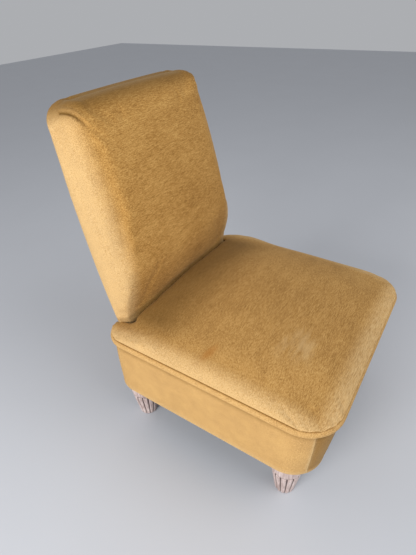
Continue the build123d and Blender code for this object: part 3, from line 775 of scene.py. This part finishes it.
def apronRing(look):
    # a round-cornered loop, drawn down level by level, tucked in under the front
    half = lipHigh.x - look["inset"]
    front, rear = lipLow.y + look["inset"], lipHigh.y - look["inset"]
    middle = (front + rear) / 2
    top = lipLow.z
    centre = (0, middle, top)
    deselectAll()
    bpy.ops.mesh.primitive_plane_add(size=2, location=(0, 0, 0))
    piece = bpy.context.object
    piece.name = piece.data.name = "apronRing"
    openEdit(piece)
    bpy.ops.mesh.select_all(action="SELECT")
    bpy.ops.transform.translate(value=centre)
    bpy.ops.transform.resize(value=(half, (rear - front) / 2, 1), center_override=centre)
    for corner, isCorner in (
        (look["frontCorner"], lambda place: place.y < front + onLevel),
        (look["rearCorner"], lambda place: place.y > rear - onLevel),
    ):
        pick(piece, isCorner)
        bpy.ops.mesh.bevel(offset=corner, segments=look["cornerSteps"], affect="VERTICES", profile=0.5)
    pick(piece, lambda edge: edge.calc_length() > look["straight"], "edges")
    bpy.ops.mesh.subdivide(number_cuts=look["cuts"])
    bpy.ops.mesh.select_all(action="SELECT")
    bpy.ops.mesh.delete(type="ONLY_FACE")
    bpy.ops.mesh.select_mode(type="VERT")
    for number in range(1, len(look["levels"])):
        last, now = look["levels"][number - 1], look["levels"][number]
        pick(piece, lambda place: abs(place.z - (top - last)) < onLevel)
        bpy.ops.mesh.extrude_edges_move(TRANSFORM_OT_translate={"value": (0, 0, last - now)})
        grow = 1 + (look["swell"][number] - look["swell"][number - 1]) / half
        bpy.ops.transform.resize(value=(grow, grow, 1), center_override=(0, middle, top - now))
        tucked = middle - look["tuckAhead"]
        pick(piece, lambda place: abs(place.z - (top - now)) < onLevel and place.y < tucked)
        share = (now - last) / look["levels"][-1]
        bpy.ops.transform.translate(value=(0, look["tuck"] * share, 0))
    pick(piece, lambda place: place.z < look["bottom"] + onLevel)
    bpy.ops.mesh.extrude_edges_move(TRANSFORM_OT_translate={"value": (0, 0, 0)})
    shrink = 1 - look["hem"] / half
    bpy.ops.transform.resize(value=(shrink, shrink, 1), center_override=(0, middle, look["bottom"]))
    bpy.ops.mesh.select_all(action="SELECT")
    bpy.ops.mesh.normals_make_consistent(inside=False)
    closeEdit()
    return piece


def cutPanel(ring, name, look, planes):
    # keeps the part of the loop between two corner seams and turns its edges in
    makeActive(ring)
    bpy.ops.object.duplicate()
    piece = bpy.context.object
    piece.name = piece.data.name = name
    openEdit(piece)
    for place, normal in planes:
        bpy.ops.mesh.select_all(action="SELECT")
        bpy.ops.mesh.bisect(plane_co=place, plane_no=normal, clear_outer=True)
    bpy.ops.mesh.select_all(action="SELECT")
    bpy.ops.mesh.normals_make_consistent(inside=False)
    for place, normal in planes:
        spot, away = Vector(place), Vector(normal)
        pick(piece, lambda point: abs((point - spot).dot(away)) < onSeam)
        toX, toY = look["turnTo"]
        inward = Vector((toX - spot.x, toY - spot.y, 0)).normalized() * look["turnIn"]
        bpy.ops.mesh.extrude_edges_move(TRANSFORM_OT_translate={"value": inward})
    bpy.ops.mesh.select_all(action="SELECT")
    bpy.ops.mesh.normals_make_consistent(inside=False)
    closeEdit()
    flatArea = sum(face.area for face in piece.data.polygons)
    applyModifier(piece, "SOLIDIFY", thickness=look["cloth"], offset=-1)
    sharp = math.radians(look["edgeAngle"])
    applyModifier(
        piece, "BEVEL", width=look["edgeRound"], segments=3, limit_method="ANGLE", angle_limit=sharp
    )
    return piece, flatArea


def makeApron(look):
    ring = apronRing(look)
    frontX = lipHigh.x - look["inset"] - look["frontCorner"]
    frontY = lipLow.y + look["inset"] + look["frontCorner"] + look["tuck"] / 2
    rearX = lipHigh.x - look["inset"] - look["rearCorner"]
    rearY = lipHigh.y - look["inset"] - look["rearCorner"]
    slant = math.sqrt(0.5)
    corners = {
        "frontLeft": ((frontX, frontY, 0), (slant, slant, 0)),
        "frontRight": ((-frontX, frontY, 0), (-slant, slant, 0)),
        "rearLeft": ((rearX, rearY, 0), (slant, -slant, 0)),
        "rearRight": ((-rearX, rearY, 0), (-slant, -slant, 0)),
    }

    def flip(corner):
        place, normal = corners[corner]
        return place, tuple(-value for value in normal)

    panels = {
        "front": [corners["frontLeft"], corners["frontRight"]],
        "rear": [corners["rearLeft"], corners["rearRight"]],
        "left": [flip("frontLeft"), flip("rearLeft")],
        "right": [flip("frontRight"), flip("rearRight")],
    }
    for side, planes in panels.items():
        piece, flatArea = cutPanel(ring, "apron" + side.title(), look, planes)
        # painted shadow under the lip; painted shade over the panels, strongest on the front; painted
        # highlight on the side panels and along the hem, standing for how each panel's pile takes the
        # light; paler along the corner seams
        shade, worn = [], []
        for vertex in piece.data.vertices:
            toSeam = min(abs((vertex.co - Vector(place)).dot(Vector(normal))) for place, normal in planes)
            sewn = 1 - ease(toSeam, *look["seamWidth"])
            high = ease(vertex.co.z, lipLow.z - look["lipBand"], lipLow.z)
            low = 1 - ease(vertex.co.z, look["bottom"], look["bottom"] + look["hemBand"])
            shade.append(min(look["lipShade"] * high + look["panelShade"][side] * (1 - low), 1))
            faded = look["panelHighlight"][side] + look["hemHighlight"] * low
            worn.append(min(faded + look["seamPale"] * sewn, 1))
        setAttribute(piece, "shade", shade)
        setAttribute(piece, "worn", worn)
        smoothShade(piece)
        keepPiece(piece, velvet, "velvet", "apron_" + side)
    bpy.data.objects.remove(ring)


makeApron(apronLook)
print("apron made")


# cloth cut from a flat node: the outer back and the dust cloth
outerFacing = 0.9
narrowStrip = 0.005


def clothFrom(name, node, outward, look):
    # keeps the node's outer face, divides it into even squares and lets its middle stand out a little
    piece = copyNodes(name, node)
    outward = Vector(outward).normalized()
    aside = Vector((1, 0, 0))
    along = outward.cross(aside)
    openEdit(piece)
    pick(piece, lambda face: face.normal.dot(outward) < outerFacing, "faces")
    bpy.ops.mesh.delete(type="FACE")
    bpy.ops.mesh.select_all(action="SELECT")
    bpy.ops.mesh.dissolve_limited(angle_limit=math.radians(1))
    shape = bmesh.from_edit_mesh(piece.data)
    rim = [vertex.co.copy() for vertex in shape.verts]
    rimEdges = [[vertex.co.copy() for vertex in edge.verts] for edge in shape.edges if edge.is_boundary]
    for axis in (aside, along):
        reach = [corner.dot(axis) for corner in rim]
        place = min(reach) + look["square"]
        while place < max(reach) - narrowStrip:
            bpy.ops.mesh.select_all(action="SELECT")
            bpy.ops.mesh.bisect(plane_co=axis * place + outward * rim[0].dot(outward), plane_no=axis)
            place += look["square"]
    closeEdit()

    def fromRim(point):
        best = 1.0
        for first, second in rimEdges:
            run = second - first
            share = clip((point - first).dot(run) / max(run.length_squared, 1e-12))
            best = min(best, (point - first - run * share).length)
        return best

    flatArea = sum(face.area for face in piece.data.polygons)
    for vertex in piece.data.vertices:
        vertex.co += outward * look["fullness"] * ease(fromRim(vertex.co), 0.0, look["reach"])
    applyModifier(piece, "SOLIDIFY", thickness=look["cloth"], offset=-1)
    applyModifier(piece, "BEVEL", width=look["cloth"] * 0.4, segments=2, limit_method="ANGLE")
    return piece, flatArea


outerBackLook = {"square": 0.018, "fullness": 0.0022, "reach": 0.05, "cloth": 0.002, "flat": (0.40, 0.50)}
dustLook = {"square": 0.03, "fullness": 0.0030, "reach": 0.10, "cloth": 0.0009, "flat": (0.54, 0.525)}


def cambricFinish(name):
    finish = Finish(name)
    threads = finish.weave(500.0)
    slub = finish.noise(60, 3, (0.2, 1, 1))
    dust = finish.noise(9, 3)
    tone = slub * 0.5 + dust * 0.5
    colour = finish.ramp(tone, [(0.35, (0.012, 0.012, 0.013)), (0.65, (0.040, 0.038, 0.036))])
    return finish.surface(
        Base_Color=colour,
        Roughness=0.85 + dust * 0.1,
        Normal=finish.bump(threads * 0.6 + slub * 0.4, 0.4, 0.0004),
        Specular_IOR_Level=0.2,
    )


def makeOuterBack(look):
    rake = backAxes["rake"]
    outward = (0, math.cos(rake), -math.sin(rake))
    piece, area = clothFrom("outerBack", "back_outer_panel", outward, look)
    smoothShade(piece)
    keepPiece(piece, velvet, "velvet", "back_outer_panel")


def makeDustCloth(look):
    piece, area = clothFrom("dustCloth", "dust_cover", (0, 0, -1), look)
    smoothShade(piece)
    keepPiece(piece, cambricFinish("blackCambric"), "cambric", "dust_cover")


makeOuterBack(outerBackLook)
makeDustCloth(dustLook)
print("outer back and dust cloth made")

# feet
footLook = {
    "reeds": 14,
    "around": 12,
    "reedTop": 0.0345,
    "reedLow": 0.0004,
    "reedHeight": 0.080,
    "core": 0.01,
    "grooveDepth": 0.0030,
    "grooveTone": (0.15, 0.75),
    "ringHeight": 0.0815,
    "ringBand": (0.0006, 0.0024),
    "ringTone": 0.9,
    "grooveShape": (1.0, 0.55, 0.0, -0.14, -0.2, -0.22),
    "profile": (
        (0.0000, 0.0215), (0.0012, 0.0228), (0.0060, 0.0239), (0.0200, 0.0259), (0.0400, 0.0287),
        (0.0600, 0.0316), (0.0700, 0.0331), (0.0745, 0.0338), (0.0775, 0.0337), (0.0795, 0.0327),
        (0.0806, 0.0312), (0.0815, 0.0308), (0.0824, 0.0312), (0.0833, 0.0330), (0.0850, 0.0346),
        (0.0885, 0.0359), (0.0940, 0.0367), (0.1020, 0.0371), (0.1120, 0.0371), (0.1240, 0.0369),
        (0.1310, 0.0366), (0.1350, 0.0360), (0.1355, 0.0345), (0.1355, 0.0142), (0.1370, 0.0140),
        (0.1860, 0.0140), (0.1875, 0.0130),
    ),
}


def woodFinish(name, look):
    finish = Finish(name)
    grain = finish.noise(1, 4, look["grain"], 0.6)
    pores = finish.noise(1, 3, tuple(value * 3.2 for value in look["grain"]), 0.7)
    patch = finish.noise(16, 2)
    tone = grain * 0.6 + patch * 0.4
    colour = finish.ramp(tone, [(0.36, look["dark"]), (0.50, look["mid"]), (0.64, look["light"])])
    colour = finish.mix((pores - 0.55) * look["pores"], colour, look["poreTone"])
    # darkens towards the groove colour where the groove attribute is set: painted shade in the grooves
    colour = finish.mix(finish.attribute("groove"), colour, look["groove"])
    return finish.surface(
        Base_Color=colour,
        Roughness=look["rough"] + grain * 0.2,
        Normal=finish.bump(grain * 0.5 + pores * 0.5, 0.25, 0.0005),
        Specular_IOR_Level=0.4,
    )


limedLook = {
    "grain": (260, 260, 22),
    "dark": (0.33, 0.235, 0.21),
    "mid": (0.50, 0.39, 0.36),
    "light": (0.68, 0.57, 0.54),
    "pores": 2.5,
    "poreTone": (0.22, 0.14, 0.12),
    "groove": (0.085, 0.055, 0.048),
    "rough": 0.42,
}
beechLook = {
    "grain": (14, 160, 160),
    "dark": (0.44, 0.27, 0.14),
    "mid": (0.56, 0.36, 0.20),
    "light": (0.66, 0.45, 0.27),
    "pores": 1.5,
    "poreTone": (0.36, 0.20, 0.10),
    "groove": (0.2, 0.1, 0.05),
    "rough": 0.55,
}


def makeFoot(look):
    # turned on a lathe: a circle drawn up through the profile, then reeded
    count = look["reeds"] * look["around"]
    deselectAll()
    height, radius = look["profile"][0]
    bpy.ops.mesh.primitive_circle_add(vertices=count, radius=radius, fill_type="NGON", location=(0, 0, 0))
    piece = bpy.context.object
    piece.name = piece.data.name = "footPattern"
    openEdit(piece)
    bpy.ops.mesh.select_all(action="SELECT")
    for nextHeight, nextRadius in look["profile"][1:]:
        bpy.ops.mesh.extrude_region_move(TRANSFORM_OT_translate={"value": (0, 0, nextHeight - height)})
        grow = nextRadius / radius
        bpy.ops.transform.resize(value=(grow, grow, 1), center_override=(0, 0, nextHeight))
        height, radius = nextHeight, nextRadius
    for offset, depth in enumerate(look["grooveShape"]):
        if depth == 0:
            continue

        def inReed(place):
            if not look["reedLow"] <= place.z <= look["reedHeight"] or place.xy.length < look["core"]:
                return False
            step = math.atan2(place.y, place.x) / (2 * math.pi) * count
            step = round(step) % look["around"]
            return min(step, look["around"] - step) == offset

        pick(piece, inReed)
        squeeze = 1 - depth * look["grooveDepth"] / look["reedTop"]
        bpy.ops.transform.resize(value=(squeeze, squeeze, 1), center_override=(0, 0, 0))
    bpy.ops.mesh.select_all(action="SELECT")
    bpy.ops.mesh.normals_make_consistent(inside=False)
    closeEdit()
    profile = look["profile"]

    def turned(z):
        for (lowZ, lowR), (highZ, highR) in zip(profile, profile[1:]):
            if lowZ <= z <= highZ and highZ > lowZ:
                return lowR + (highR - lowR) * (z - lowZ) / (highZ - lowZ)
        return 0

    applyModifier(piece, "SUBSURF", levels=1, render_levels=1)
    # painted shade in the grooves of the reeds and in the ring cut, deeper where the cut is deeper
    groove = []
    for vertex in piece.data.vertices:
        place = vertex.co
        sunk = 0
        if place.z < look["reedHeight"]:
            sunk = (turned(place.z) - place.xy.length) / (look["grooveDepth"] * 0.9)
        ring = 1 - ease(abs(place.z - look["ringHeight"]), *look["ringBand"])
        groove.append(max(ease(sunk, *look["grooveTone"]), look["ringTone"] * ring))
    setAttribute(piece, "groove", groove)
    return piece


def placeFeet(pattern, finish):
    for name in ("front_left", "front_right", "rear_left", "rear_right"):
        low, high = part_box("foot_" + name)
        makeActive(pattern)
        bpy.ops.object.duplicate()
        foot = bpy.context.object
        foot.name = foot.data.name = "foot" + name.title().replace("_", "")
        openEdit(foot)
        bpy.ops.mesh.select_all(action="SELECT")
        bpy.ops.transform.translate(value=((low.x + high.x) / 2, (low.y + high.y) / 2, 0))
        closeEdit()
        smoothShade(foot, woodAngle)
        keepPiece(foot, finish, "limed_wood", "foot_" + name)
    bpy.data.objects.remove(pattern)


placeFeet(makeFoot(footLook), woodFinish("limedWood", limedLook))
print("feet made")


# finishes of the hidden frame
def wovenFinish(name, look):
    finish = Finish(name)
    threads = finish.weave(look["threads"])
    slub = finish.noise(look["slub"], 3)
    tone = threads * 0.35 + slub * 0.65
    colour = finish.ramp(tone, [(0.30, look["dark"]), (0.50, look["mid"]), (0.70, look["light"])])
    return finish.surface(
        Base_Color=colour,
        Roughness=0.80 + slub * 0.15,
        Normal=finish.bump(threads * 0.7 + slub * 0.3, 0.6, look["depth"]),
        Specular_IOR_Level=0.2,
    )


def steelFinish(name, look):
    finish = Finish(name)
    scale = finish.noise(70, 3)
    rust = finish.noise(24, 3)
    colour = finish.ramp(rust, [(0.45, look["bare"]), (0.60, look["tarnish"]), (0.75, look["rust"])])
    return finish.surface(
        Base_Color=colour,
        Metallic=1 - rust.between(0.50, 0.65) * 0.7,
        Roughness=0.35 + scale * 0.35,
        Normal=finish.bump(scale, 0.2, 0.0003),
    )


hiddenLook = {
    "jute": {"threads": 160.0, "slub": 90, "depth": 0.0008,
             "dark": (0.20, 0.13, 0.065), "mid": (0.36, 0.25, 0.13), "light": (0.50, 0.37, 0.21)},
    "hessian": {"threads": 220.0, "slub": 120, "depth": 0.0008,
                "dark": (0.24, 0.16, 0.08), "mid": (0.40, 0.29, 0.16), "light": (0.54, 0.42, 0.26)},
    "stuffing": {"threads": 30.0, "slub": 180, "depth": 0.003,
                 "dark": (0.13, 0.075, 0.035), "mid": (0.26, 0.165, 0.08), "light": (0.42, 0.30, 0.16)},
    "twine": {"threads": 400.0, "slub": 200, "depth": 0.0006,
              "dark": (0.30, 0.22, 0.12), "mid": (0.47, 0.37, 0.22), "light": (0.62, 0.51, 0.34)},
    "steel": {"bare": (0.30, 0.29, 0.28), "tarnish": (0.24, 0.16, 0.11), "rust": (0.20, 0.10, 0.05)},
}


def dressHidden(look):
    finishes = {
        "beech": woodFinish("beech", beechLook),
        "jute_webbing": wovenFinish("juteWebbing", look["jute"]),
        "hessian": wovenFinish("hessianCloth", look["hessian"]),
        "stuffing": wovenFinish("fibreStuffing", look["stuffing"]),
        "twine": wovenFinish("lashingTwine", look["twine"]),
        "steel": steelFinish("springSteel", look["steel"]),
    }
    wanted = {
        "beech": ("rail", "block", "stile_left", "stile_right"),
        "jute_webbing": ("webbing",),
        "hessian": ("hessian", "lining"),
        "stuffing": ("stuffing", "wadding"),
        "twine": ("twine",),
        "steel": ("springs", "screws"),
    }
    for name, node in nodes.items():
        for kind, words in wanted.items():
            if any(word in name for word in words):
                node.data.materials.clear()
                node.data.materials.append(finishes[kind])


dressHidden(hiddenLook)
print("hidden frame dressed")

# light and floor
lightLook = {
    "world": (0.90, 0.92, 0.96),
    "worldStrength": 0.46,
    "lamps": {
        "key": {"place": (-2.7, 0.15, 1.15), "size": 1.6, "power": 77},
        "fill": {"place": (0.2, -2.0, 2.2), "size": 2.4, "power": 34},
    },
    "aim": (0.0, 0.0, 0.35),
    "floor": (0.56, 0.575, 0.61),
    "floorDark": 0.96,
    "floorSize": 14,
}


def addLamp(name, aim, place, size, power):
    bpy.ops.object.light_add(type="AREA", location=place)
    lamp = bpy.context.object
    lamp.name = name
    lamp.data.size = size
    lamp.data.energy = power
    lamp.rotation_euler = (Vector(aim) - Vector(place)).to_track_quat("-Z", "Y").to_euler()


def makeStage(look):
    deselectAll()
    world = bpy.data.worlds.new("studio")
    scene.world = world
    world.use_nodes = True
    background = world.node_tree.nodes["Background"]
    background.inputs["Color"].default_value = (*look["world"], 1)
    background.inputs["Strength"].default_value = look["worldStrength"]
    for name, lamp in look["lamps"].items():
        addLamp(name, look["aim"], **lamp)
    bpy.ops.mesh.primitive_plane_add(size=look["floorSize"], location=(0, 0, 0))
    floor = bpy.context.object
    floor.name = "floor"
    finish = Finish("paleFloor")
    tone = finish.noise(3, 3)
    dark = tuple(value * look["floorDark"] for value in look["floor"])
    colour = finish.mix(tone, dark, look["floor"])
    floor.data.materials.append(finish.surface(Base_Color=colour, Roughness=0.7))
    scene.view_settings.view_transform = "Standard"


makeStage(lightLook)
print("stage set")
